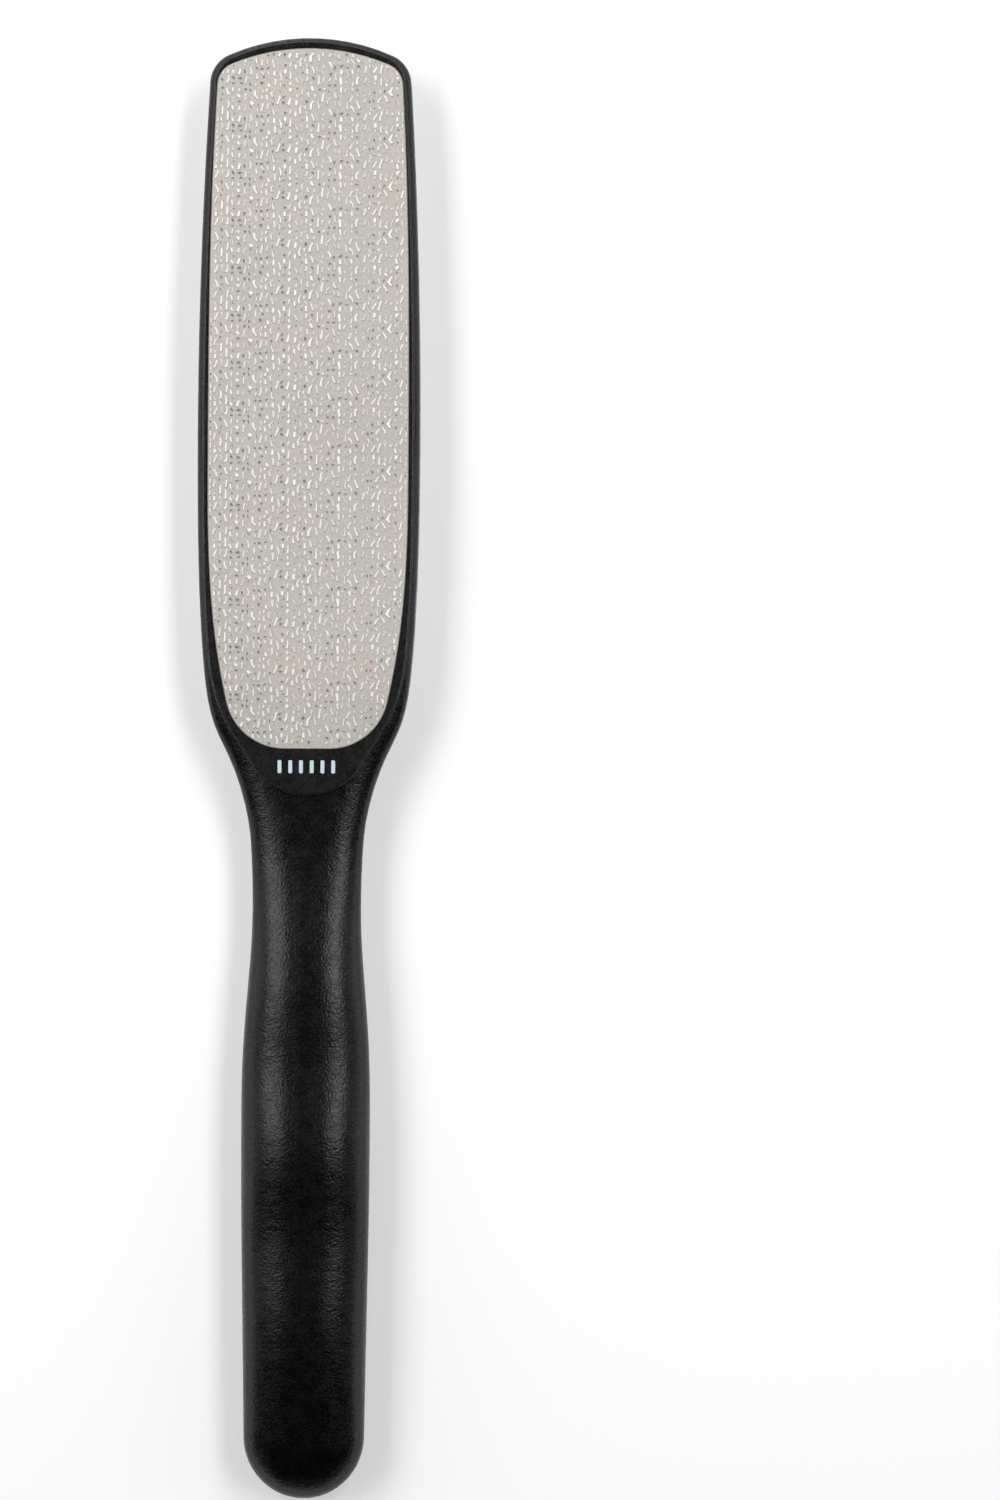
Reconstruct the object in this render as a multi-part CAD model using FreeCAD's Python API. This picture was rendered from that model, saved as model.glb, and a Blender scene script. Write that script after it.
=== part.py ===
import FreeCAD, Part
import math
import os

# Foot file with two faces. A stiff core carries an etched metal plate on each face of its paddle, and a
# matte cover is moulded over the core: the whole handle, and a narrow band round the paddle's edge.
# The file lies flat. +Y points from the handle to the paddle's tip, +Z points out of the coarse face,
# and the origin is under the middle of its length and width, on the plane that it lies on.
# All lengths are in millimetres.

# Stretches along the file, one after another from the paddle's tip to the handle's end
tip_to_upper = 21.5
upper_to_widest = 48.0
widest_to_shoulder = 37.5
shoulder_to_plate_heel = 19.4
plate_heel_to_tongue = 8.3
tongue_to_neck = 9.8
neck_to_waist = 10.5
waist_to_fore_swell = 16.5
fore_swell_to_fore_dip = 8.5
fore_dip_to_palm = 18.5
palm_to_palm_dip = 15.0
palm_dip_to_heel = 15.5
heel_to_dome = 20.0
dome_length = 11.0

# Widths at some of those places
tip_width = 34.8
upper_width = 37.2
widest_width = 39.5
shoulder_width = 37.7
waist_width = 19.3
palm_width = 22.9
heel_width = 22.1
dome_width = 21.5
end_width = 21.2

# Thicknesses of the cover at some of those places
band_thickness = 8.0
neck_thickness = 7.2
fore_swell_thickness = 11.6
fore_dip_thickness = 11.5
palm_thickness = 13.8
palm_dip_thickness = 12.4
heel_thickness = 13.2
dome_thickness = 11.2
end_thickness = 10.0

# How the width falls from shoulder to waist and rises from waist to palm: shares of the stretch, and of
# the change in width
shoulder_fall_shares = ((0.16, 0.075), (0.33, 0.28), (0.44, 0.55), (0.55, 0.76), (0.67, 0.91), (0.80, 0.975))
palm_rise_shares = ((0.36, 0.52), (0.61, 0.92))

# Paddle's tip and edge
tip_radius = 36.0
tip_corner_radius = 5.6
edge_radius = 1.5

# Cover: width of its band round the paddle, its wall over the tang, and how much of the handle's section
# is rounded
band_width = 0.9
skin = 1.6
handle_round_share = 0.93

# Core's platform: it stands above the cover, and ends in a rounded tongue below the plate. Its sides draw
# in from the shoulder to the tongue by shares of that stretch, and of the change in width
platform_rise = 0.5
platform_edge_radius = 0.4
tongue_radius = 11.3
tongue_half_angle = 58.0
tongue_side_shares = ((0.24, 0.066), (0.56, 0.305))

# Plates: each lies in a recess of the platform on a film of adhesive, and stands a little proud of it
plate_thickness = 0.55
plate_proud = 0.25
plate_tip_margin = 2.1
plate_tip_side_margin = 1.4
plate_upper_margin = 1.45
plate_widest_margin = 1.9
plate_shoulder_margin = 2.5
plate_heel_width = 24.2
plate_tip_radius = 36.0
plate_tip_corner_radius = 4.2
plate_heel_corner_radius = 10.6
recess_clearance = 0.1
adhesive_thickness = 0.15
adhesive_margin = 0.6

# Pockets that keep the core's wall even under the plates
pocket_ledge = 3.2
pocket_length = 14.6
rib = 1.8
web = 2.2

# Tang inside the handle, with windows that the cover fills and locks in
tang_overlap = 14.0
tang_end_margin = 14.0
window_width = 6.5
window_bridge = 7.0
window_count = 3

# How far a cut runs past what it cuts
overrun = 1.0

# Places along the file, measured from the paddle's tip
upper_place = tip_to_upper
widest_place = upper_place + upper_to_widest
shoulder_place = widest_place + widest_to_shoulder
plate_heel_place = shoulder_place + shoulder_to_plate_heel
tongue_place = plate_heel_place + plate_heel_to_tongue
neck_place = tongue_place + tongue_to_neck
waist_place = neck_place + neck_to_waist
fore_swell_place = waist_place + waist_to_fore_swell
fore_dip_place = fore_swell_place + fore_swell_to_fore_dip
palm_place = fore_dip_place + fore_dip_to_palm
palm_dip_place = palm_place + palm_to_palm_dip
heel_place = palm_dip_place + palm_dip_to_heel
dome_place = heel_place + heel_to_dome
end_place = dome_place + dome_length
tang_start = tongue_place - tang_overlap
tang_end = end_place - tang_end_margin

# Heights above and below the file's middle plane, and that plane's own height
band_face = band_thickness / 2
platform_face = band_face + platform_rise
plate_face = platform_face + plate_proud
plate_back = plate_face - plate_thickness
recess_floor = plate_back - adhesive_thickness
swells = (fore_swell_thickness, fore_dip_thickness, palm_thickness, palm_dip_thickness, heel_thickness)
mid_z = max(max(swells) / 2, plate_face)
tip_y = end_place / 2

# Number of sections that shape the handle, and the angle at which its rounded end closes
handle_sections = 60
dome_sections = 9
dome_last_angle = 86.0
corner_steps = 12

# Two points nearer than this are the same point
nearness = Part.Precision.confusion()


def size_curve(stations):
    """Curve of half a size against the place along the file, through stations of place, size and slope."""
    curve = Part.BSplineCurve()
    curve.interpolate(
        Points=[FreeCAD.Vector(place, half, 0) for place, half, slope in stations],
        Parameters=[place for place, half, slope in stations],
        Tangents=[FreeCAD.Vector(1, slope or 0, 0) for place, half, slope in stations],
        TangentFlags=[slope is not None for place, half, slope in stations],
        Scale=False,
    )
    return curve


def stations_between(start, end, half_start, half_end, shares):
    """Stations at shares of a stretch, with shares of the change in size."""
    stations = []
    for along_share, change_share in shares:
        place = start + (end - start) * along_share
        half = half_start + (half_end - half_start) * change_share
        stations.append((place, half, None))
    return stations


def file_width_curve():
    """Half width of the whole file, from tip to end."""
    shoulder_half = shoulder_width / 2
    waist_half = waist_width / 2
    palm_half = palm_width / 2
    stations = [
        (0, tip_width / 2, None),
        (upper_place, upper_width / 2, None),
        (widest_place, widest_width / 2, 0),
        (shoulder_place, shoulder_half, None),
    ]
    stations += stations_between(shoulder_place, waist_place, shoulder_half, waist_half, shoulder_fall_shares)
    stations.append((waist_place, waist_half, 0))
    stations += stations_between(waist_place, palm_place, waist_half, palm_half, palm_rise_shares)
    stations += [
        (palm_place, palm_half, 0),
        (heel_place, heel_width / 2, None),
        (dome_place, dome_width / 2, None),
        (end_place, end_width / 2, None),
    ]
    return size_curve(stations)


def file_thickness_curve():
    """Half thickness of the cover, from the widest place to the end."""
    return size_curve([
        (widest_place, band_face, 0),
        (shoulder_place, band_face, 0),
        (neck_place, neck_thickness / 2, 0),
        (fore_swell_place, fore_swell_thickness / 2, 0),
        (fore_dip_place, fore_dip_thickness / 2, 0),
        (palm_place, palm_thickness / 2, 0),
        (palm_dip_place, palm_dip_thickness / 2, 0),
        (heel_place, heel_thickness / 2, 0),
        (dome_place, dome_thickness / 2, None),
        (end_place, end_thickness / 2, None),
    ])


def platform_width_curve():
    """Half width of the core's platform, from the tip to where the tongue's arc starts."""
    angle = math.radians(tongue_half_angle)
    shoulder_half = shoulder_width / 2 - band_width
    arc_half = tongue_radius * math.sin(angle)
    arc_place = tongue_place - tongue_radius * (1 - math.cos(angle))
    stations = [
        (0, tip_width / 2 - band_width, None),
        (upper_place, upper_width / 2 - band_width, None),
        (widest_place, widest_width / 2 - band_width, 0),
        (shoulder_place, shoulder_half, None),
    ]
    stations += stations_between(shoulder_place, arc_place, shoulder_half, arc_half, tongue_side_shares)
    stations.append((arc_place, arc_half, -1 / math.tan(angle)))
    return size_curve(stations)


def plate_width_curve(grow):
    """Half width of a plate's outline, grown all round, from the tip to the plate's lower edge."""
    return size_curve([
        (0, tip_width / 2 - plate_tip_side_margin + grow, None),
        (upper_place, upper_width / 2 - plate_upper_margin + grow, None),
        (widest_place, widest_width / 2 - plate_widest_margin + grow, 0),
        (shoulder_place, shoulder_width / 2 - plate_shoulder_margin + grow, None),
        (plate_heel_place + grow, plate_heel_width / 2 + grow, None),
    ])


def half_at(curve, place):
    """Half size that a curve gives at a place."""
    return curve.value(place).y


def plan_point(across, place):
    """Point in plan, on the middle plane, at a place along the file."""
    return FreeCAD.Vector(across, tip_y - place, mid_z)


def side_edge(curve, start, end):
    """Right hand edge in plan that a size curve gives between two places."""
    edge = curve.toShape(start, end)
    edge.rotate(FreeCAD.Vector(0, 0, 0), FreeCAD.Vector(0, 0, 1), -90)
    edge.translate(plan_point(0, 0))
    return edge


def mirrored(shape):
    """The same shape on the left hand side."""
    return shape.mirror(FreeCAD.Vector(0, 0, 0), FreeCAD.Vector(1, 0, 0))


def tip_corner_place(curve, inset, radius):
    """Place where a side meets a crowned tip that has a radius and is drawn in by an inset."""
    place = inset
    for step in range(corner_steps):
        half = half_at(curve, place)
        place = inset + radius - math.sqrt(radius**2 - half**2)
    return place


def outline_edges(curve, inset, radius, last_place):
    """Crowned tip and both sides in plan, down to a last place, with the place of the tip's corners."""
    corner = tip_corner_place(curve, inset, radius)
    half = half_at(curve, corner)
    tip = Part.Arc(plan_point(half, corner), plan_point(0, inset), plan_point(-half, corner)).toShape()
    right = side_edge(curve, corner, last_place)
    return [tip, right, mirrored(right)], corner


def straight_across(curve, place):
    """Straight edge in plan from side to side."""
    half = half_at(curve, place)
    return Part.makeLine(plan_point(half, place), plan_point(-half, place))


def layer(edges, low, high):
    """Solid with a closed outline in plan, between two heights from the middle plane."""
    face = Part.Face(Part.Wire(Part.__sortEdges__(edges)))
    face.translate(FreeCAD.Vector(0, 0, low))
    return face.extrude(FreeCAD.Vector(0, 0, high - low))


def block(across, start, end, low, high):
    """Straight block on the axis, between two places and two heights from the middle plane."""
    corner = FreeCAD.Vector(-across / 2, tip_y - end, mid_z + low)
    return Part.makeBox(across, end - start, high - low, corner)


def round_uprights(solid, curve, place, radius):
    """Round the two upright edges that stand at a place, left and right."""
    if radius <= 0:
        return solid
    half = half_at(curve, place)
    uprights = []
    for edge in solid.Edges:
        box = edge.BoundBox
        is_upright = box.XLength < nearness + nearness and box.YLength < nearness + nearness
        is_there = abs(box.Center.y - plan_point(half, place).y) < nearness + nearness
        if is_upright and is_there:
            uprights.append(edge)
    return solid.makeFillet(radius, uprights)


def level_edges(solid, last_place):
    """Edges of the top and bottom faces, without any straight one across the file at the last place."""
    edges = []
    for edge in solid.Edges:
        box = edge.BoundBox
        is_level = box.ZLength < overrun / 2
        is_last = box.YMax < tip_y - last_place + overrun / 2
        if is_level and not is_last:
            edges.append(edge)
    return edges


def quarter(start, control, end):
    """Quarter of an ellipse between two points, whose tangents meet at the control point."""
    curve = Part.BezierCurve()
    curve.setPoles([start, control, end])
    curve.setWeight(2, math.sqrt(0.5))
    return curve.toShape()


def section(place, half_width, half_thickness):
    """Wire across the file: a slab with rounded edges on the paddle that turns into the handle's oval."""
    turn_share = (place - shoulder_place) / (waist_place - shoulder_place)
    turn_share = min(max(turn_share, 0), 1)
    turn_share = turn_share**2 * (3 - 2 * turn_share)
    widest_across = handle_round_share * half_width
    widest_down = handle_round_share * half_thickness
    slab_across = min(edge_radius, widest_across)
    slab_down = min(edge_radius, widest_down)
    across = slab_across + (widest_across - slab_across) * turn_share
    down = slab_down + (widest_down - slab_down) * turn_share
    y = tip_y - place
    sides = []
    corners = []
    faces = []
    for x_sign, z_sign in ((1, 1), (-1, 1), (-1, -1), (1, -1)):
        x = x_sign * half_width
        z = mid_z + z_sign * half_thickness
        corners.append(FreeCAD.Vector(x, y, z))
        sides.append(FreeCAD.Vector(x, y, z - z_sign * down))
        faces.append(FreeCAD.Vector(x - x_sign * across, y, z))
    return Part.Wire([
        quarter(sides[0], corners[0], faces[0]),
        Part.makeLine(faces[0], faces[1]),
        quarter(faces[1], corners[1], sides[1]),
        Part.makeLine(sides[1], sides[2]),
        quarter(sides[2], corners[2], faces[2]),
        Part.makeLine(faces[2], faces[3]),
        quarter(faces[3], corners[3], sides[3]),
        Part.makeLine(sides[3], sides[0]),
    ])


def spread_places(start, end):
    """Places of the handle's sections from a start to an end, closest together at both ends."""
    places = []
    for step in range(handle_sections + 1):
        share = (1 - math.cos(math.pi * step / handle_sections)) / 2
        places.append(start + (end - start) * share)
    return places


def paddle_outside():
    """Outside of the cover's band, from the paddle's tip to the widest place."""
    edges, corner = outline_edges(width_curve, 0, tip_radius, widest_place)
    edges.append(straight_across(width_curve, widest_place))
    solid = layer(edges, -band_face, band_face)
    solid = round_uprights(solid, width_curve, corner, tip_corner_radius)
    return solid.makeFillet(edge_radius, level_edges(solid, widest_place))


def handle_outside():
    """Outside of the cover, from the widest place to the handle's rounded end."""
    wires = []
    for place in spread_places(widest_place, dome_place):
        wires.append(section(place, half_at(width_curve, place), half_at(thickness_curve, place)))
    for step in range(1, dome_sections + 1):
        angle = math.radians(dome_last_angle * step / dome_sections)
        place = dome_place + dome_length * math.sin(angle)
        half_width = half_at(width_curve, place) * math.cos(angle)
        half_thickness = half_at(thickness_curve, place) * math.cos(angle)
        wires.append(section(place, half_width, half_thickness))
    return Part.makeLoft(wires, True)


def platform():
    """The core's platform, as thick above the middle plane as below, with its tongue."""
    curve = platform_width_curve()
    arc_place = curve.LastParameter
    edges, corner = outline_edges(curve, band_width, tip_radius - band_width, arc_place)
    half = half_at(curve, arc_place)
    tongue = Part.Arc(plan_point(half, arc_place), plan_point(0, tongue_place), plan_point(-half, arc_place))
    edges.append(tongue.toShape())
    solid = layer(edges, -platform_face, platform_face)
    solid = round_uprights(solid, curve, corner, tip_corner_radius - band_width)
    return solid.makeFillet(platform_edge_radius, level_edges(solid, end_place))


def plate_layer(grow, low, high):
    """Solid with a plate's outline, grown all round, between two heights from the middle plane."""
    curve = plate_width_curve(grow)
    heel_place_now = plate_heel_place + grow
    edges, corner = outline_edges(curve, plate_tip_margin - grow, plate_tip_radius + grow, heel_place_now)
    edges.append(straight_across(curve, heel_place_now))
    solid = layer(edges, low, high)
    solid = round_uprights(solid, curve, corner, plate_tip_corner_radius + grow)
    return round_uprights(solid, curve, heel_place_now, plate_heel_corner_radius + grow)


def pockets():
    """Two rows of pockets in each face of the paddle, cut into cells by ribs."""
    start = plate_tip_margin + pocket_ledge
    length = plate_heel_place - pocket_ledge - start
    count = max(1, int((length + rib) // (pocket_length + rib)))
    pitch = (length + rib) / count
    field = plate_layer(-pocket_ledge, -plate_face, plate_face)
    walls = [block(widest_width, 0, plate_heel_place, -web / 2, web / 2)]
    walls.append(block(rib, 0, plate_heel_place, -plate_face - overrun, plate_face + overrun))
    for row in range(1, count):
        rib_end = start + row * pitch
        walls.append(block(widest_width, rib_end - rib, rib_end, -plate_face - overrun, plate_face + overrun))
    return field.cut(walls)


def window(start, end):
    """Slot with round ends that runs right through the tang."""
    half = window_width / 2
    near = start + half
    far = end - half
    edges = [
        Part.Arc(plan_point(half, near), plan_point(0, start), plan_point(-half, near)).toShape(),
        Part.makeLine(plan_point(-half, near), plan_point(-half, far)),
        Part.Arc(plan_point(-half, far), plan_point(0, end), plan_point(half, far)).toShape(),
        Part.makeLine(plan_point(half, far), plan_point(half, near)),
    ]
    return layer(edges, -max(swells), max(swells))


def tang():
    """The core's tail inside the handle, one skin's thickness inside the cover, with its windows."""
    wires = []
    for place in spread_places(tang_start, tang_end):
        half_width = half_at(width_curve, place) - skin
        half_thickness = half_at(thickness_curve, place) - skin
        wires.append(section(place, half_width, half_thickness))
    pitch = (tang_end - waist_place) / window_count
    windows = []
    for number in range(window_count):
        start = waist_place + number * pitch
        windows.append(window(start, start + pitch - window_bridge))
    return Part.makeLoft(wires, True).cut(windows)


def core(blank):
    """Stiff insert: the blank of platform and tang, with its plate recesses and pockets."""
    recess_top = plate_layer(recess_clearance, recess_floor, platform_face + overrun)
    recess_bottom = plate_layer(recess_clearance, -platform_face - overrun, -recess_floor)
    return blank.cut([recess_top, recess_bottom, pockets()])


def grip(blank):
    """Matte cover, moulded over the core and touching it all over."""
    outside = paddle_outside().fuse(handle_outside()).removeSplitter()
    return outside.cut(blank)


def main():
    os.makedirs("parts", exist_ok=True)
    blank = platform().fuse(tang()).removeSplitter()
    nodes = {
        "core": core(blank),
        "grip": grip(blank),
        "coarse_plate": plate_layer(0, plate_back, plate_face),
        "fine_plate": plate_layer(0, -plate_face, -plate_back),
        "coarse_adhesive": plate_layer(-adhesive_margin, recess_floor, plate_back),
        "fine_adhesive": plate_layer(-adhesive_margin, -plate_back, -recess_floor),
    }
    for name, shape in nodes.items():
        shape.exportStep("parts/" + name + ".step")
        print(name, shape.isValid(), len(shape.Solids), round(shape.Volume, 1))


width_curve = file_width_curve()
thickness_curve = file_thickness_curve()
main()
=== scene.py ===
import math
import random

import bmesh
import bpy
from bpy.props import FloatProperty, FloatVectorProperty, IntProperty, PointerProperty
from mathutils import Matrix, Vector


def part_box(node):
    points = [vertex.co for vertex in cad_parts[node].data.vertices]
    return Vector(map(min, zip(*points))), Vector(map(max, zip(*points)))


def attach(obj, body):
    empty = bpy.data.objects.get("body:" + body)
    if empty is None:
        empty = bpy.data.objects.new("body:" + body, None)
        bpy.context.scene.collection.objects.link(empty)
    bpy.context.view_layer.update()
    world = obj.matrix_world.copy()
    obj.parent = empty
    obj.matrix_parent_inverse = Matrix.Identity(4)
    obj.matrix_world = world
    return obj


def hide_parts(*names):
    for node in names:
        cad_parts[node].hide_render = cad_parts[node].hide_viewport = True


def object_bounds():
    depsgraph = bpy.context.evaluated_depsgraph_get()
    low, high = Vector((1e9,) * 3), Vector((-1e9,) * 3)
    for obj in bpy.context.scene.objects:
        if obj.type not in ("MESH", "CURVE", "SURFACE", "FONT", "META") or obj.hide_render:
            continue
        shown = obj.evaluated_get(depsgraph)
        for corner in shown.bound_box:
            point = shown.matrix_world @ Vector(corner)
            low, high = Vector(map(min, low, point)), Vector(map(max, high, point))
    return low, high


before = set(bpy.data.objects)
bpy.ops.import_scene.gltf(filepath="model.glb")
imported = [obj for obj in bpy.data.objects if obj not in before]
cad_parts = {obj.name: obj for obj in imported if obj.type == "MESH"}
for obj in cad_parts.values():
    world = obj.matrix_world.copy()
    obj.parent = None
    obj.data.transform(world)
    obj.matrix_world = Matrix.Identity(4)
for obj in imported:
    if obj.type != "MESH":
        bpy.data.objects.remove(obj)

bl_info = {
    "name": "Foot File",
    "version": (1, 0, 0),
    "blender": (4, 5, 0),
    "location": "3D View > Sidebar > Foot File",
    "description": "Cuts the teeth of a foot file's two plates, marks its grades, finishes it and lights it",
    "category": "Object",
}

MM = 0.001
MICRON = 0.000001

# A face this share of a cell's size or larger is a whole cell
WHOLE_SHARE = 0.99

# A drift that folds a cell over is multiplied by this until it doesn't
CALMING = 0.8

# Faces of a plate that meet at less than this are shaded as one
SMOOTH_ANGLE = math.radians(12)

# Stretches of a noise pattern that a finish is spread over, from wide to narrow
WIDE_STRETCH = (0.25, 0.75)
USUAL_STRETCH = (0.3, 0.7)
NARROW_STRETCH = (0.35, 0.65)
PATCH_STRETCH = (0.48, 0.7)

# Tones of the darkest and the lightest spots, as shares of the plain tone
MOULDING_TONES = (0.75, 1.3)
MOTTLE_TONES = (0.84, 1.1)

# Width of a moulding's clouds in grains
CLOUD_GRAINS = 6

# The painted glint on the steel starts and ends at these shares of a tooth's height
GLINT_STRETCH = (0.25, 0.85)

# Where the room's light fades, along Z or Y of a direction of length 1
OVERHEAD_FADE = (0.1, 0.75)
HORIZON_FADE = (0.06, 0.3)
END_FADE = (-0.25, 0.0)

# The CAD model's box, and the middle plane that the file's two faces share
cad_low, cad_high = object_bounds()
mid_plane = (cad_low.z + cad_high.z) / 2


def length(name, description, millimetres):
    """Length property with a default in millimetres."""
    return FloatProperty(
        name=name, description=description, default=millimetres * MM, unit="LENGTH", precision=5)


def share(name, description, default):
    """Property between nothing and the whole."""
    return FloatProperty(
        name=name, description=description, default=default, min=0, max=1, subtype="FACTOR")


def quantity(name, description, default):
    """Whole-number property, at least two."""
    return IntProperty(name=name, description=description, default=default, min=2)


def light(name, description, default):
    """Radiance property."""
    return FloatProperty(name=name, description=description, default=default, min=0)


def slant(name, description, degrees):
    """Angle property with a default in degrees."""
    return FloatProperty(
        name=name, description=description, default=math.radians(degrees), min=0, subtype="ANGLE")


def colour(name, description, default):
    """Colour property."""
    return FloatVectorProperty(
        name=name, description=description, default=default, size=3, min=0, max=1, subtype="COLOR")


class ToothSizes(bpy.types.PropertyGroup):
    """Teeth and pits of the coarse plate, and how much smaller those of the fine plate are"""

    cell_width: length("Cell width", "Room for one tooth or pit across the plate", 1.0)
    cell_length: length("Cell length", "Room for one tooth or pit along the plate", 1.05)
    rows: quantity("Rows", "Rows of cells before the etched pattern repeats", 8)
    wander: share("Wander", "How far a cell's corners stray, as a share of the cell", 0.48)
    lane_slip: share("Lane slip", "How far a lane of cells slips along the plate, as a share of a cell", 0.5)
    long_share: share("Long cells", "Share of the cells that grow into the next one along", 0.4)
    tooth_share: share("Teeth", "Share of the other cells that hold a tooth", 0.56)
    tooth_height: length("Tooth height", "How far a tooth stands above the ground", 0.16)
    foot_width: share("Foot width", "Width of a tooth's foot as a share of its cell", 0.5)
    foot_length: share("Foot length", "Length of a tooth's foot as a share of its cell", 0.92)
    crest_width: share("Crest width", "Width of a tooth's crest as a share of its foot", 0.6)
    crest_length: share("Crest length", "Length of a tooth's crest as a share of its foot", 0.8)
    tooth_slant: slant("Tooth slant", "Most that a tooth turns from the file's length", 38)
    bend_share: share("Bend", "How far a long tooth's middle bends aside, as a share of a cell", 0.28)
    pit_share: share("Pits", "Share of the other cells that hold a pit", 0.32)
    pit_depth: length("Pit depth", "How deep a pit goes below the ground", 0.13)
    pit_width: share("Pit width", "Width of a pit as a share of its cell", 0.5)
    pit_length: share("Pit length", "Length of a pit as a share of its cell", 0.5)
    pit_floor: share("Pit floor", "Size of a pit's floor as a share of its mouth", 0.6)
    pit_slant: slant("Pit slant", "Most that a pit turns from the file's length", 50)
    lip_height: length("Lip height", "How far the lip at a pit's right stands above the ground", 0.05)
    least_share: share("Least", "Least size of a tooth, a pit or a cut cell as a share of the full one", 0.58)
    stray_share: share("Stray", "How much of its free room in a cell a tooth or pit may use", 0.9)
    room_share: share("Room share", "Most of its cell that a tooth or pit may reach over", 0.92)
    open_share: share("Open share", "Least room that a strayed cell keeps at its corners, as a share", 0.3)
    chamfer: length("Chamfer", "Width of the cut edge round the plate", 0.2)
    fine_share: share("Fine share", "Size of the fine plate's teeth as a share of the coarse plate's", 0.66)
    seed: IntProperty(name="Seed", description="Start of the random draws", default=7, min=0)


class BarSizes(bpy.types.PropertyGroup):
    """Rows of printed bars that tell the coarse face from the fine one"""

    row_length: length("Row length", "Length of the row of bars across the tongue", 10.2)
    bar_height: length("Bar height", "Height of a bar", 2.3)
    bar_share: share("Bar share", "Width of a bar as a share of the spacing", 0.36)
    corner_share: share("Corner share", "Radius of a bar's corners as a share of its width", 0.3)
    coarse_bars: quantity("Coarse bars", "Number of bars on the coarse face", 6)
    fine_bars: quantity("Fine bars", "Number of bars on the fine face", 11)
    ink: length("Ink", "Thickness of the printed ink", 0.03)
    heel_gap: length("Gap", "From the plate's lower edge to the middle of the bars", 3.1)


class Finishes(bpy.types.PropertyGroup):
    """Colours, gloss and grain of the file's surfaces"""

    cover: colour("Cover", "Matte cover of the handle and the paddle's rim", (0.001, 0.001, 0.0011))
    cover_roughness: share("Cover roughness", "Roughness of the matte cover", 0.29)
    cover_uneven: share("Cover unevenness", "How far the cover's roughness varies from grain to grain", 0.09)
    cover_gloss: share("Cover gloss", "Specular level of the matte cover", 0.3)
    cover_grain: length("Cover grain", "Size of the cover's eroded grain", 0.38)
    cover_relief: length("Cover relief", "Depth of the cover's eroded grain", 0.05)
    core: colour("Core", "Satin core that carries the plates", (0.0035, 0.0036, 0.0039))
    core_roughness: share("Core roughness", "Roughness of the satin core", 0.34)
    core_uneven: share("Core unevenness", "How far the core's roughness varies from grain to grain", 0.1)
    core_gloss: share("Core gloss", "Specular level of the satin core", 0.3)
    core_grain: length("Core grain", "Size of the core's fine grain", 0.4)
    core_relief: length("Core relief", "Depth of the core's fine grain", 0.06)
    steel: colour("Steel", "Etched steel of the plates", (0.525, 0.505, 0.466))
    warm_steel: colour("Warm steel", "Warmer patches of the etched steel", (0.58, 0.5, 0.455))
    # Colour of the painted glint on the crests of the teeth
    bright_steel: colour("Bright steel", "Crests of the teeth", (0.87, 0.86, 0.84))
    steel_metal: share("Steel metal", "How metallic the etched steel is", 0.65)
    steel_roughness: share("Steel roughness", "Roughness of the etched steel", 0.55)
    steel_uneven: share("Steel unevenness", "How far the steel's roughness varies from grain to grain", 0.08)
    steel_grain: length("Steel grain", "Size of the steel's fine grain", 0.2)
    steel_relief: length("Steel relief", "Depth of the steel's fine grain", 0.012)
    patch_size: length("Patch size", "Size of the steel's warm patches", 12)
    patch_strength: share("Patch strength", "How far the warmest patch turns to the warm steel", 0.7)
    cloud_size: length("Cloud size", "Size of the steel's clouds", 30)
    cloud_strength: share("Cloud strength", "How far the clouds darken and lighten the steel", 0.04)
    mottle_size: length("Mottle size", "Size of the steel's mottle", 0.5)
    # Painted shade: the steel at the floor of a pit is darkened to this share of the ground's tone
    pit_shade_tone: share("Pit tone", "Tone of the floor of a pit as a share of the ground's", 0.58)
    film: colour("Film", "Bonding film under the plates", (0.75, 0.74, 0.70))
    ink: colour("Ink", "Printed bars on the tongue", (0.55, 0.68, 0.74))


class StageSizes(bpy.types.PropertyGroup):
    """Camera, lamps, room and floor"""

    camera_height: length("Camera height", "Height of the camera above the file's middle plane", 654)
    camera_side: length("Camera side", "How far the camera stands to the file's right", 34.3)
    camera_along: length("Camera along", "How far the camera stands towards the tip", 3.67)
    lens: FloatProperty(name="Lens", description="Focal length", default=87.97, unit="CAMERA")
    lean: FloatProperty(
        name="Lean", description="How far the file leans to the right in the picture",
        default=math.radians(0.33), subtype="ANGLE")
    lamp_height: length("Lamp height", "Height of both strip lamps above the floor", 500)
    lamp_start: length("Lamp start", "Where the strip lamps start along the file", -95)
    lamp_end: length("Lamp end", "Where the strip lamps end along the file", 600)
    left_side: length("Left lamp", "From the file to the middle of the left lamp", 370)
    left_width: length("Left width", "Width of the left lamp", 260)
    left_light: light("Left light", "Radiance of the left lamp", 4.9)
    right_side: length("Right lamp", "From the file to the middle of the right lamp", 300)
    right_width: length("Right width", "Width of the right lamp", 160)
    right_light: light("Right light", "Radiance of the right lamp", 6.2)
    zenith_light: light("Zenith", "Radiance of the room overhead", 0.14)
    horizon_light: light("Horizon", "Radiance of the room all round", 1.9)
    end_light: share("End light", "Light of the room above the handle's end, as a share of the rest", 0.02)
    floor: colour("Floor", "Plain pale floor", (0.8, 0.8, 0.8))
    floor_glow: light("Floor glow", "Radiance that the floor adds of its own", 0.3)
    floor_size: length("Floor size", "Length of the floor's sides", 30000)


def deselect_all():
    """Leave edit mode and select nothing."""
    if bpy.context.object and bpy.context.object.mode != "OBJECT":
        bpy.ops.object.mode_set(mode="OBJECT")
    bpy.ops.object.select_all(action="DESELECT")


def take_up(piece):
    """Make a piece the only selected one and the active one."""
    deselect_all()
    piece.select_set(True)
    bpy.context.view_layer.objects.active = piece


def open_piece(piece, select_mode="VERT"):
    """Open a piece in edit mode with nothing selected, and give its mesh."""
    take_up(piece)
    bpy.ops.object.mode_set(mode="EDIT")
    bpy.ops.mesh.select_mode(type=select_mode)
    bpy.ops.mesh.select_all(action="DESELECT")
    return bmesh.from_edit_mesh(piece.data)


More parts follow.
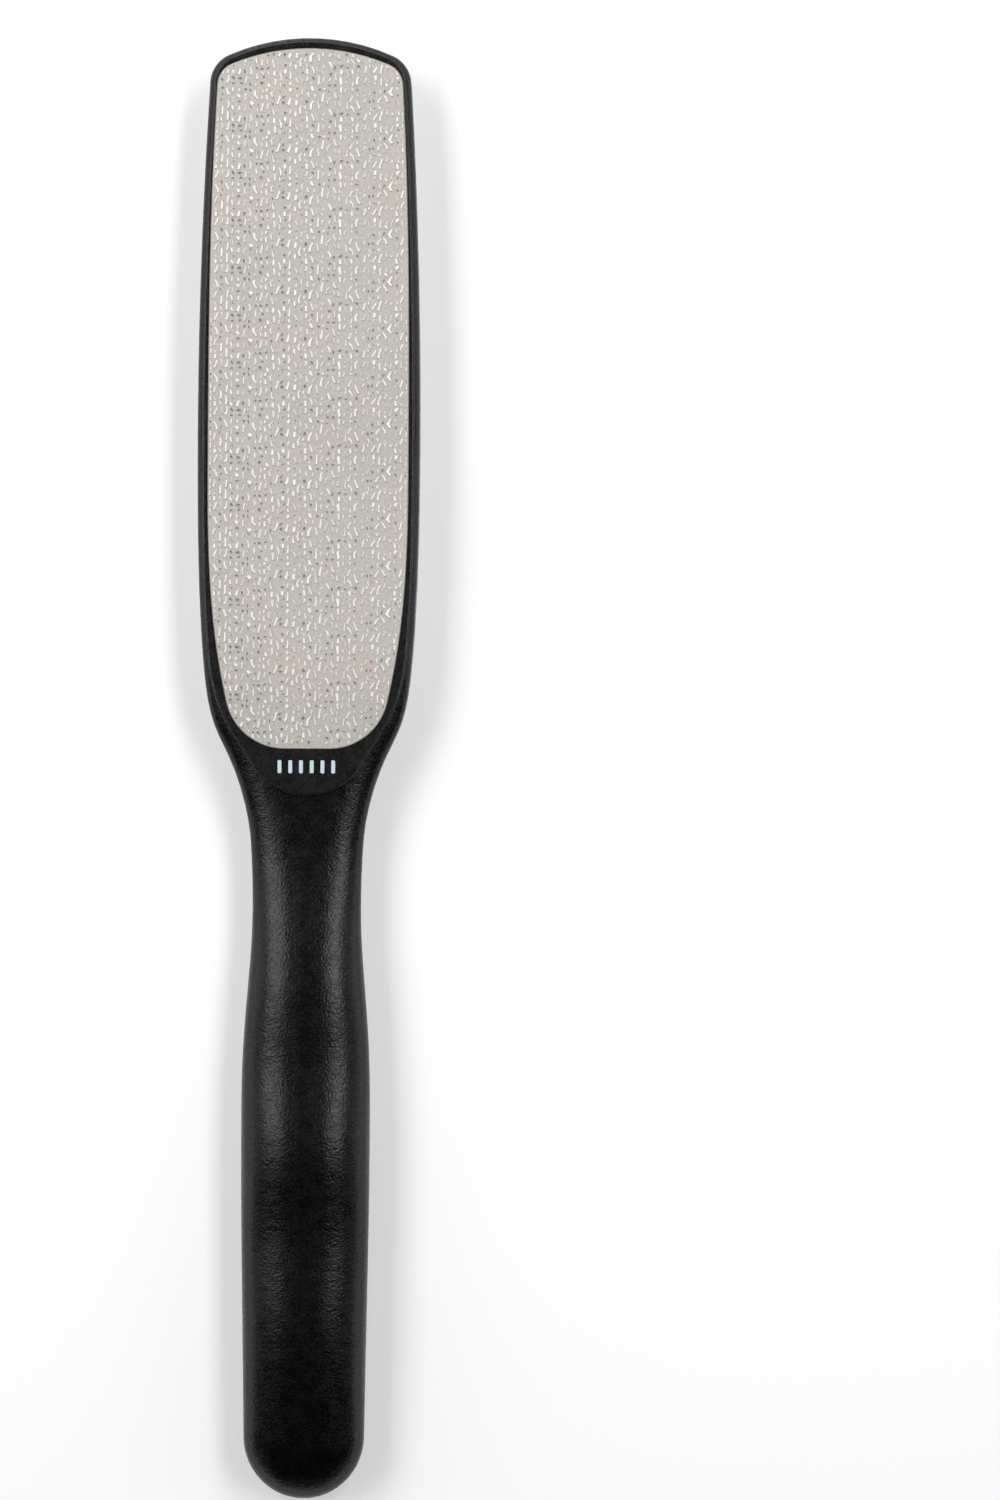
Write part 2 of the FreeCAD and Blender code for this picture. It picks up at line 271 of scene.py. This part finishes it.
def apply_modifiers(piece):
    """Apply all modifiers of a piece, in their order."""
    take_up(piece)
    for modifier in list(piece.modifiers):
        bpy.ops.object.modifier_apply(modifier=modifier.name)


def rgba(rgb, factor=1):
    """Opaque colour, made lighter or darker by a factor."""
    return (rgb[0] * factor, rgb[1] * factor, rgb[2] * factor, 1)


class TreeMaker:
    """Node tree whose nodes are added one after another, each with its settings and links"""

    def __init__(self, tree):
        self.tree = tree

    def add(self, kind, inputs=None, **settings):
        """Node of a kind, with its settings, and its inputs linked or set."""
        node = self.tree.nodes.new(kind)
        for key, value in settings.items():
            setattr(node, key, value)
        for key, value in (inputs or {}).items():
            self.feed(node, key, value)
        return node

    def feed(self, node, key, value):
        """Link or set an input of a node."""
        if isinstance(value, bpy.types.NodeSocket):
            self.tree.links.new(value, node.inputs[key])
        else:
            node.inputs[key].default_value = value

    def sum(self, operation, first, second=0.0):
        """Result of a sum on two values."""
        return self.add("ShaderNodeMath", {0: first, 1: second}, operation=operation).outputs[0]

    def spread(self, value, ends, new_ends, interpolation="LINEAR"):
        """Value carried over from between two ends to between two others, and kept inside them."""
        inputs = {"Value": value, "From Min": ends[0], "From Max": ends[1]}
        inputs.update({"To Min": new_ends[0], "To Max": new_ends[1]})
        return self.add("ShaderNodeMapRange", inputs, interpolation_type=interpolation).outputs[0]


class MaterialMaker(TreeMaker):
    """New node material, whose nodes end in its main shader"""

    def __init__(self, name):
        self.material = bpy.data.materials.new(name)
        self.material.use_nodes = True
        super().__init__(self.material.node_tree)
        self.shader = self.tree.nodes["Principled BSDF"]
        self.place = self.add("ShaderNodeTexCoord").outputs["Object"]

    def noise(self, size, detail=2.0):
        """Cloudy pattern with features of about a size, from 0 to 1."""
        inputs = {"Vector": self.place, "Scale": 1 / size, "Detail": detail, "Roughness": 0.6}
        return self.add("ShaderNodeTexNoise", inputs).outputs["Fac"]

    def mix(self, factor, first, second):
        """Colour between two colours."""
        return self.add("ShaderNodeMix", {0: factor, 6: first, 7: second}, data_type="RGBA").outputs[2]

    def bump(self, height, distance):
        """Raise the surface by a pattern, up to a distance."""
        node = self.add("ShaderNodeBump", {"Height": height, "Distance": distance})
        self.finish("Normal", node.outputs["Normal"])

    def finish(self, key, value):
        """Link or set an input of the main shader."""
        self.feed(self.shader, key, value)


def moulded_material(name, tint, roughness, uneven, gloss, grain, relief):
    """Black moulding with cloudy gloss, and a raised grain of a size and relief."""
    maker = MaterialMaker(name)
    clouds = maker.noise(CLOUD_GRAINS * grain, detail=4.0)
    lumps = maker.noise(grain, detail=0.5)
    average = maker.sum("MULTIPLY", maker.sum("ADD", clouds, lumps), 1 / 2)
    dark, pale = (rgba(tint, tone) for tone in MOULDING_TONES)
    maker.finish("Base Color", maker.mix(clouds, dark, pale))
    maker.finish("Roughness", maker.spread(average, NARROW_STRETCH, (roughness - uneven, roughness + uneven)))
    maker.finish("Specular IOR Level", gloss)
    maker.bump(lumps, relief)
    return maker.material


def steel_material(name, finishes, etching):
    """Etched steel with painted glints on its crests, painted shade in its pits and faint warm patches."""
    maker = MaterialMaker(name)
    height = maker.add("ShaderNodeSeparateXYZ", {"Vector": maker.place}).outputs["Z"]
    above = maker.sum("ABSOLUTE", maker.sum("SUBTRACT", height, mid_plane))
    pit_floor = etching.level(etching.ground, -etching.sizes.pit_depth)
    low, ground, high = (abs(level - mid_plane) for level in (pit_floor, etching.ground, etching.crest))
    patches = maker.noise(finishes.patch_size, detail=3.0)
    warmth = maker.spread(patches, PATCH_STRETCH, (0.0, finishes.patch_strength))
    steel = maker.mix(warmth, rgba(finishes.steel), rgba(finishes.warm_steel))
    # Painted shade: the steel darkens from the ground down to halfway into a pit, and stays that dark to the
    # pit's floor
    painted_pit_shade = maker.spread(above, ((low + ground) / 2, ground), (finishes.pit_shade_tone, 1.0))
    mottle = maker.spread(maker.noise(finishes.mottle_size), USUAL_STRETCH, MOTTLE_TONES)
    cloud_tones = (1 - finishes.cloud_strength, 1 + finishes.cloud_strength)
    clouds = maker.spread(maker.noise(finishes.cloud_size), USUAL_STRETCH, cloud_tones)
    tone = maker.sum("MULTIPLY", maker.sum("MULTIPLY", painted_pit_shade, mottle), clouds)
    toned = maker.add("ShaderNodeVectorMath", {0: steel, "Scale": tone}, operation="SCALE").outputs[0]
    # Painted highlight: towards its crest a tooth turns to the bright steel colour, which stands in for the
    # glint of light on it
    glint_ends = [ground + (high - ground) * glint_share for glint_share in GLINT_STRETCH]
    painted_glint = maker.spread(above, glint_ends, (0.0, 1.0))
    grain = maker.noise(finishes.steel_grain)
    roughness, uneven = finishes.steel_roughness, finishes.steel_uneven
    maker.finish("Base Color", maker.mix(painted_glint, toned, rgba(finishes.bright_steel)))
    maker.finish("Metallic", finishes.steel_metal)
    maker.finish("Roughness", maker.spread(grain, WIDE_STRETCH, (roughness - uneven, roughness + uneven)))
    maker.bump(grain, finishes.steel_relief)
    return maker.material


def plain_material(name, tint, roughness, uneven, size):
    """Printed, filmy or painted surface with a slightly uneven tone."""
    maker = MaterialMaker(name)
    maker.finish("Base Color", maker.mix(maker.noise(size, detail=3.0), rgba(tint, 1 - uneven), rgba(tint)))
    maker.finish("Roughness", roughness)
    return maker.material


def dress(node, material):
    """Give a CAD node its material."""
    for material_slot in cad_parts[node].material_slots:
        material_slot.material = material


def settle(piece, name, material, replaced=()):
    """Name a finished piece, give it its material and slot, and let it ride with the file."""
    piece.name = name
    piece.data.name = name
    piece.data.materials.clear()
    piece.data.materials.append(material)
    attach(piece, "root")
    if replaced:
        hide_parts(*replaced)


class Cell:
    """What one cell of the etched pattern holds, and how that lies in it"""

    def __init__(self, sizes, draw, may_be_long):
        chance = draw.random()
        self.is_long = may_be_long and draw.random() < sizes.long_share
        self.is_tooth = self.is_long or chance < sizes.tooth_share
        self.is_pit = not self.is_tooth and chance < sizes.tooth_share + sizes.pit_share
        slant = sizes.tooth_slant if self.is_tooth else sizes.pit_slant
        self.turn = draw.uniform(-slant, slant)
        self.grade = draw.uniform(sizes.least_share, 1)
        self.bend = draw.uniform(-sizes.bend_share, sizes.bend_share)
        self.stray = (draw.uniform(-1, 1) * sizes.stray_share, draw.uniform(-1, 1) * sizes.stray_share)


class Etching:
    """Etched pattern of a plate: lanes of cells along it, in rows that repeat after a while"""

    def __init__(self, node, sizes, size_share, outward):
        low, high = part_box(node)
        self.sizes = sizes
        self.outward = outward
        self.size_share = size_share
        self.cell_width = sizes.cell_width * size_share
        self.cell_length = sizes.cell_length * size_share
        self.lanes = math.ceil((high.x - low.x) / self.cell_width)
        self.rows = math.ceil((high.y - low.y) / self.cell_length)
        self.low_x = (low.x + high.x - self.lanes * self.cell_width) / 2
        self.low_y = (low.y + high.y - self.rows * self.cell_length) / 2
        self.inner, self.crest = (low.z, high.z) if outward > 0 else (high.z, low.z)
        self.ground = self.level(self.crest, -sizes.tooth_height)
        self.corner_drifts = {}
        draw = random.Random(sizes.seed + outward)
        self.cells = [self.draw_lane(draw) for lane in range(self.lanes)]
        self.drifts = [self.draw_drifts(draw) for lane in range(self.lanes + 1)]

    def draw_lane(self, draw):
        """One lane's cells up to where they repeat. No long cell starts in the next one's place."""
        cells = []
        for row in range(self.sizes.rows):
            may_be_long = row + 1 < self.sizes.rows and not (cells and cells[-1].is_long)
            cells.append(Cell(self.sizes, draw, may_be_long))
        return cells

    def draw_drifts(self, draw):
        """How far the corners between two lanes stray, aside and along, up to where they repeat."""
        slip = draw.uniform(-1, 1) * self.sizes.lane_slip
        drifts = []
        for row in range(self.sizes.rows):
            aside = draw.uniform(-1, 1) * self.sizes.wander
            along = draw.uniform(-1, 1) * self.sizes.wander + slip
            drifts.append(Vector((aside * self.cell_width, along * self.cell_length, 0)))
        return drifts

    def level(self, start, rise):
        """Height that is a full-size rise further out than a start."""
        return start + self.outward * self.size_share * rise

    def lane_and_row(self, place):
        """Place on the plate counted in lanes and rows."""
        return (place.x - self.low_x) / self.cell_width, (place.y - self.low_y) / self.cell_length

    def cell_at(self, place):
        """Cell of the pattern at a place."""
        lane, row = self.lane_and_row(place)
        return self.cells[int(lane)][int(row) % self.sizes.rows]

    def free_corner(self, place):
        """Let the corner of the cells at a place drift."""
        lane, row = (round(number) for number in self.lane_and_row(place))
        self.corner_drifts[lane, row] = self.drifts[lane][row % self.sizes.rows].copy()

    def openness(self, corners):
        """Least room that a strayed cell keeps at a corner, as a share of an even cell's."""
        places = []
        for lane, row in corners:
            place = Vector((lane * self.cell_width, row * self.cell_length, 0))
            places.append(place + self.corner_drifts.get((lane, row), Vector((0, 0, 0))))
        sides = [place - places[number - 1] for number, place in enumerate(places)]
        rooms = [sides[number - 1].cross(side).z for number, side in enumerate(sides)]
        return min(rooms) / (self.cell_width * self.cell_length)

    def calm_drifts(self):
        """Lessen the drift round the cells that it would fold over, until all stay open."""
        cells = {(lane, row) for lane in range(self.lanes) for row in range(self.rows)}
        unsure = cells
        while unsure:
            folded = []
            for lane, row in sorted(unsure):
                corners = ((lane, row), (lane + 1, row), (lane + 1, row + 1), (lane, row + 1))
                if self.openness(corners) < self.sizes.open_share:
                    folded.append((lane, row))
                    for corner in self.corner_drifts.keys() & set(corners):
                        self.corner_drifts[corner] *= CALMING
            beside = set()
            for lane, row in folded:
                beside.update((lane + aside, row + along) for aside in (-1, 0, 1) for along in (-1, 0, 1))
            unsure = cells & beside

    def drift_at(self, place):
        """How far the pattern strays at a place, between the four corners round it."""
        lane, row = self.lane_and_row(place)
        drift = Vector((0, 0, 0))
        for near_lane in (math.floor(lane), math.floor(lane) + 1):
            for near_row in (math.floor(row), math.floor(row) + 1):
                if (near_lane, near_row) in self.corner_drifts:
                    weight = (1 - abs(lane - near_lane)) * (1 - abs(row - near_row))
                    drift += weight * self.corner_drifts[near_lane, near_row]
        return drift

    def is_outer(self, face):
        """Tell whether a face lies on the plate's outer side, at the ground of the teeth."""
        return all(abs(corner.co.z - self.ground) < MICRON for corner in face.verts)

    def is_whole(self, face):
        """Tell whether a face of the ground holds whole cells, which the plate's edge doesn't cut."""
        return self.is_outer(face) and face.calc_area() > self.cell_width * self.cell_length * WHOLE_SHARE


def plate_blank(node, etching):
    """Blank on a CAD plate's inner face, up to the ground of its teeth, with a slanted outer edge."""
    blank = bpy.data.objects.new(node + "_blank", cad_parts[node].data.copy())
    bpy.context.scene.collection.objects.link(blank)
    take_up(blank)
    bpy.ops.mesh.customdata_custom_splitnormals_clear()
    open_piece(blank)
    bpy.ops.mesh.select_all(action="SELECT")
    bpy.ops.mesh.remove_doubles(threshold=MICRON)
    mesh = open_piece(blank, "FACE")
    # Only the inner face stays, and the blank is pulled up from it
    for face in mesh.faces:
        face.select_set(any(abs(corner.co.z - etching.inner) > MICRON for corner in face.verts))
    bpy.ops.mesh.delete(type="FACE")
    bpy.ops.mesh.select_all(action="SELECT")
    bpy.ops.mesh.dissolve_faces()
    chamfer = etching.sizes.chamfer
    rise = etching.ground - etching.outward * chamfer - etching.inner
    bpy.ops.mesh.extrude_region_move(TRANSFORM_OT_translate={"value": (0, 0, rise)})
    bpy.ops.mesh.inset(thickness=chamfer, depth=0)
    bpy.ops.transform.translate(value=(0, 0, etching.outward * chamfer))
    return blank


def cut_cells(plate, etching):
    """Cut a plate's ground into cells, and join some of them to the next one along."""
    mesh = open_piece(plate, "FACE")
    # Only the ground stays in sight, so that the cuts leave the plate's sides alone
    for face in mesh.faces:
        face.select_set(etching.is_outer(face))
    bpy.ops.mesh.hide(unselected=True)
    cuts = []
    for lane in range(1, etching.lanes):
        cuts.append(((etching.low_x + lane * etching.cell_width, 0, 0), (1, 0, 0)))
    for row in range(1, etching.rows):
        cuts.append(((0, etching.low_y + row * etching.cell_length, 0), (0, 1, 0)))
    for place, normal in cuts:
        bpy.ops.mesh.select_all(action="SELECT")
        bpy.ops.mesh.bisect(plane_co=place, plane_no=normal, threshold=MICRON)
    bpy.ops.mesh.reveal(select=False)
    mesh = open_piece(plate, "EDGE")
    # Only corners between four whole cells drift, so the plate's edge stays straight
    for corner in mesh.verts:
        if len(corner.link_faces) == 4 and all(etching.is_whole(face) for face in corner.link_faces):
            etching.free_corner(corner.co)
    etching.calm_drifts()
    for edge in mesh.edges:
        first, last = (end.co for end in edge.verts)
        is_level = abs(first.y - last.y) < MICRON
        if is_level and all(etching.is_whole(face) for face in edge.link_faces):
            below = (first + last) / 2 - Vector((0, etching.cell_length / 2, 0))
            edge.select_set(etching.cell_at(below).is_long)
    bpy.ops.mesh.dissolve_edges(use_verts=False)


def draw_in(face, is_whole, cell, etching):
    """Draw a cell's face in to a tooth's foot or a pit's mouth that lies inside the cell."""
    sizes = etching.sizes
    shares = (sizes.pit_width, sizes.pit_length) if cell.is_pit else (sizes.foot_width, sizes.foot_length)
    centre = face.calc_center_median()
    turn = Matrix.Rotation(cell.turn if is_whole else 0, 3, "Z")
    half_length = max(corner.co.y - centre.y for corner in face.verts)
    places = []
    for corner in face.verts:
        aside = (corner.co.x - centre.x) * shares[0] * cell.grade
        along = (corner.co.y - centre.y) * shares[1] * cell.grade
        # A long cell has corners halfway along, where it bends
        if is_whole and abs(along) < MICRON:
            aside += cell.bend * etching.cell_width
        places.append(turn @ Vector((aside, along, 0)))
    # A foot or mouth that reaches too far is squeezed, and the room that is left lets it stray
    if is_whole:
        for axis, room in enumerate((etching.cell_width / 2, half_length)):
            reach = max(abs(place[axis]) for place in places)
            squeeze = min(1, room * sizes.room_share / reach)
            for place in places:
                place[axis] *= squeeze
            centre[axis] += cell.stray[axis] * (room - reach * squeeze)
    for corner, place in zip(face.verts, places):
        is_lip = cell.is_pit and place.x > 0
        corner.co = centre + place
        corner.co.z = etching.level(etching.ground, sizes.lip_height * cell.grade if is_lip else 0)


def set_top(face, cell, etching):
    """Draw a foot or a mouth in to the top of the tooth or the floor of the pit."""
    sizes = etching.sizes
    shares = (sizes.pit_floor, sizes.pit_floor) if cell.is_pit else (sizes.crest_width, sizes.crest_length)
    rise = -sizes.pit_depth if cell.is_pit else sizes.tooth_height
    centre = face.calc_center_median()
    for corner in face.verts:
        corner.co.x = centre.x + (corner.co.x - centre.x) * shares[0]
        corner.co.y = centre.y + (corner.co.y - centre.y) * shares[1]
        corner.co.z = etching.level(etching.ground, rise * cell.grade)


def shape_cells(plate, etching):
    """Raise the teeth and sink the pits, and then let the whole pattern stray."""
    mesh = open_piece(plate, "FACE")
    least_room = etching.cell_width * etching.cell_length * etching.sizes.least_share
    filled = []
    for face in mesh.faces:
        if not etching.is_outer(face) or face.calc_area() < least_room:
            continue
        cell = etching.cell_at(face.calc_center_median() - Vector((0, MICRON, 0)))
        if cell.is_tooth or cell.is_pit:
            face.select_set(True)
            filled.append((face.index, etching.is_whole(face), cell))
    # An inset leaves each face its number, first for the foot or mouth and then for the top or floor
    for is_top in (False, True):
        bpy.ops.mesh.inset(thickness=0, use_individual=True)
        mesh = bmesh.from_edit_mesh(plate.data)
        mesh.faces.ensure_lookup_table()
        for index, is_whole, cell in filled:
            if is_top:
                set_top(mesh.faces[index], cell, etching)
            else:
                draw_in(mesh.faces[index], is_whole, cell, etching)
        bmesh.update_edit_mesh(plate.data)
    for corner in mesh.verts:
        corner.co += etching.drift_at(corner.co)
    bpy.ops.mesh.select_all(action="SELECT")
    bpy.ops.mesh.normals_make_consistent(inside=False)
    bpy.ops.object.mode_set(mode="OBJECT")


def make_plate(node, name, size_share, outward, sizes, finishes):
    """Toothed plate in the place of a CAD plate."""
    etching = Etching(node, sizes, size_share, outward)
    plate = plate_blank(node, etching)
    cut_cells(plate, etching)
    shape_cells(plate, etching)
    take_up(plate)
    bpy.ops.object.shade_smooth_by_angle(angle=SMOOTH_ANGLE)
    settle(plate, name, steel_material(name + "_steel", finishes, etching), [node])


class FOOT_FILE_OT_finish_mouldings(bpy.types.Operator):
    """Finish the cover, the core and the bonding films, whose shapes are the CAD model's"""

    bl_idname = "foot_file.finish_mouldings"
    bl_label = "Finish Mouldings"

    def execute(self, context):
        finishes = context.scene.foot_file_finishes
        dress("grip", moulded_material(
            "matte_cover", finishes.cover, finishes.cover_roughness, finishes.cover_uneven,
            finishes.cover_gloss, finishes.cover_grain, finishes.cover_relief))
        dress("core", moulded_material(
            "satin_core", finishes.core, finishes.core_roughness, finishes.core_uneven,
            finishes.core_gloss, finishes.core_grain, finishes.core_relief))
        film = plain_material("bonding_film", finishes.film, roughness=0.35, uneven=0.15, size=2 * MM)
        dress("coarse_adhesive", film)
        dress("fine_adhesive", film)
        return {"FINISHED"}


class FOOT_FILE_OT_cut_plates(bpy.types.Operator):
    """Cut both steel plates with their teeth and pits, coarse above and fine below"""

    bl_idname = "foot_file.cut_plates"
    bl_label = "Cut Plates"

    def execute(self, context):
        sizes = context.scene.foot_file_teeth
        finishes = context.scene.foot_file_finishes
        make_plate("coarse_plate", "coarse_toothed_plate", 1, 1, sizes, finishes)
        make_plate("fine_plate", "fine_toothed_plate", sizes.fine_share, -1, sizes, finishes)
        return {"FINISHED"}


def make_bars(name, plate_node, count, is_top, sizes, material):
    """Row of printed bars on the core's tongue, below a plate."""
    low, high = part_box(plate_node)
    outward = 1 if is_top else -1
    pitch = sizes.row_length / (count - 1 + sizes.bar_share)
    bar_width = pitch * sizes.bar_share
    across = (low.x + high.x) / 2
    along = low.y - sizes.heel_gap
    start = (across, along, cad_high.z if is_top else cad_low.z)
    is_hit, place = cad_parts["core"].ray_cast(start, (0, 0, -outward))[:2]
    if not is_hit:
        raise RuntimeError("no tongue under the grade bars")
    deselect_all()
    bpy.ops.mesh.primitive_plane_add(size=1)
    bar = bpy.context.object
    bpy.ops.object.mode_set(mode="EDIT")
    bpy.ops.transform.resize(value=(bar_width, sizes.bar_height, 1))
    bpy.ops.mesh.select_mode(type="VERT")
    bpy.ops.mesh.bevel(offset=bar_width * sizes.corner_share, segments=4, affect="VERTICES")
    bpy.ops.mesh.select_mode(type="FACE")
    bpy.ops.mesh.select_all(action="SELECT")
    bpy.ops.transform.translate(value=(0, 0, -sizes.ink))
    bpy.ops.mesh.extrude_region_move(TRANSFORM_OT_translate={"value": (0, 0, 2 * sizes.ink)})
    bpy.ops.mesh.inset(thickness=sizes.ink, depth=0)
    bpy.ops.mesh.select_all(action="SELECT")
    bpy.ops.mesh.normals_make_consistent(inside=False)
    bpy.ops.transform.translate(value=(across - (count - 1) * pitch / 2, along, place.z))
    bpy.ops.object.mode_set(mode="OBJECT")
    row = bar.modifiers.new("row", "ARRAY")
    row.count = count
    row.use_relative_offset = False
    row.use_constant_offset = True
    row.constant_offset_displace = (pitch, 0, 0)
    apply_modifiers(bar)
    settle(bar, name, material)


class FOOT_FILE_OT_print_bars(bpy.types.Operator):
    """Print a row of plain bars on each face's tongue: few on the coarse face, many on the fine one"""

    bl_idname = "foot_file.print_bars"
    bl_label = "Print Bars"

    def execute(self, context):
        sizes = context.scene.foot_file_bars
        tint = context.scene.foot_file_finishes.ink
        ink = plain_material("pale_ink", tint, roughness=0.5, uneven=0.12, size=0.4 * MM)
        make_bars("coarse_grade_bars", "coarse_plate", sizes.coarse_bars, True, sizes, ink)
        make_bars("fine_grade_bars", "fine_plate", sizes.fine_bars, False, sizes, ink)
        return {"FINISHED"}


def strip_lamp(name, side, width, radiance, sizes):
    """Strip lamp beside and above the file, along it, turned to its axis."""
    along = (sizes.lamp_start + sizes.lamp_end) / 2
    bpy.ops.object.light_add(type="AREA", location=(side, along, sizes.lamp_height))
    lamp = bpy.context.object
    lamp.name = name
    lamp.rotation_euler = (0, math.atan2(side, sizes.lamp_height), 0)
    lamp.data.shape = "RECTANGLE"
    lamp.data.size = width
    lamp.data.size_y = sizes.lamp_end - sizes.lamp_start
    lamp.data.energy = radiance * math.pi * lamp.data.size * lamp.data.size_y


def light_room(sizes):
    """Room that is bright at the horizon and dim overhead, dimmest above the handle's end."""
    world = bpy.data.worlds.new("room")
    bpy.context.scene.world = world
    world.use_nodes = True
    maker = TreeMaker(world.node_tree)
    place = maker.add("ShaderNodeTexCoord").outputs["Generated"]
    direction = maker.add("ShaderNodeSeparateXYZ", {"Vector": place}).outputs
    lights = (sizes.horizon_light, sizes.zenith_light)
    overhead = maker.spread(direction["Z"], OVERHEAD_FADE, lights, "SMOOTHSTEP")
    horizon = maker.spread(direction["Z"], HORIZON_FADE, (1, 0), "SMOOTHSTEP")
    end = maker.spread(direction["Y"], END_FADE, (sizes.end_light, 1), "SMOOTHSTEP")
    background = maker.tree.nodes["Background"]
    strength = maker.sum("MULTIPLY", maker.sum("MAXIMUM", end, horizon), overhead)
    maker.feed(background, "Strength", strength)
    maker.feed(background, "Color", rgba((1, 1, 1)))


class FOOT_FILE_OT_set_stage(bpy.types.Operator):
    """Set the floor, the lamps, the room and the camera"""

    bl_idname = "foot_file.set_stage"
    bl_label = "Set Stage"

    def execute(self, context):
        sizes = context.scene.foot_file_stage
        deselect_all()
        bpy.ops.mesh.primitive_plane_add(size=sizes.floor_size)
        floor = context.object
        floor.name = "floor"
        pale_floor = plain_material("pale_floor", sizes.floor, roughness=0.7, uneven=0.01, size=300 * MM)
        glow = pale_floor.node_tree.nodes["Principled BSDF"].inputs
        glow["Emission Color"].default_value = rgba(sizes.floor)
        glow["Emission Strength"].default_value = sizes.floor_glow
        floor.data.materials.append(pale_floor)
        strip_lamp("left_lamp", -sizes.left_side, sizes.left_width, sizes.left_light, sizes)
        strip_lamp("right_lamp", sizes.right_side, sizes.right_width, sizes.right_light, sizes)
        light_room(sizes)
        place = (sizes.camera_side, sizes.camera_along, mid_plane + sizes.camera_height)
        bpy.ops.object.camera_add(location=place, rotation=(0, 0, sizes.lean))
        camera = context.object
        camera.name = "camera"
        camera.data.lens = sizes.lens
        context.scene.camera = camera
        context.scene.view_settings.view_transform = "Standard"
        return {"FINISHED"}


class FOOT_FILE_PT_tools(bpy.types.Panel):
    """Sizes, finishes and steps of the foot file"""

    bl_idname = "FOOT_FILE_PT_tools"
    bl_label = "Foot File"
    bl_space_type = "VIEW_3D"
    bl_region_type = "UI"
    bl_category = "Foot File"

    def draw(self, context):
        for step in STEPS:
            self.layout.operator(step.bl_idname)
        for key in GROUPS:
            group = getattr(context.scene, key)
            box = self.layout.box()
            for name in group.bl_rna.properties.keys():
                if name not in ("rna_type", "name"):
                    box.prop(group, name)


STEPS = (
    FOOT_FILE_OT_finish_mouldings,
    FOOT_FILE_OT_cut_plates,
    FOOT_FILE_OT_print_bars,
    FOOT_FILE_OT_set_stage,
)
GROUPS = {
    "foot_file_teeth": ToothSizes,
    "foot_file_bars": BarSizes,
    "foot_file_finishes": Finishes,
    "foot_file_stage": StageSizes,
}


def register():
    """Register the groups of sizes and finishes, the steps and the panel."""
    for key, group in GROUPS.items():
        bpy.utils.register_class(group)
        setattr(bpy.types.Scene, key, PointerProperty(type=group))
    for step in STEPS:
        bpy.utils.register_class(step)
    bpy.utils.register_class(FOOT_FILE_PT_tools)


def unregister():
    """Take all back that register has registered."""
    bpy.utils.unregister_class(FOOT_FILE_PT_tools)
    for step in reversed(STEPS):
        bpy.utils.unregister_class(step)
    for key, group in GROUPS.items():
        delattr(bpy.types.Scene, key)
        bpy.utils.unregister_class(group)


def main():
    """Make the visual model."""
    register()
    bpy.ops.foot_file.finish_mouldings()
    bpy.ops.foot_file.cut_plates()
    bpy.ops.foot_file.print_bars()
    bpy.ops.foot_file.set_stage()


if __name__ == "__main__":
    main()
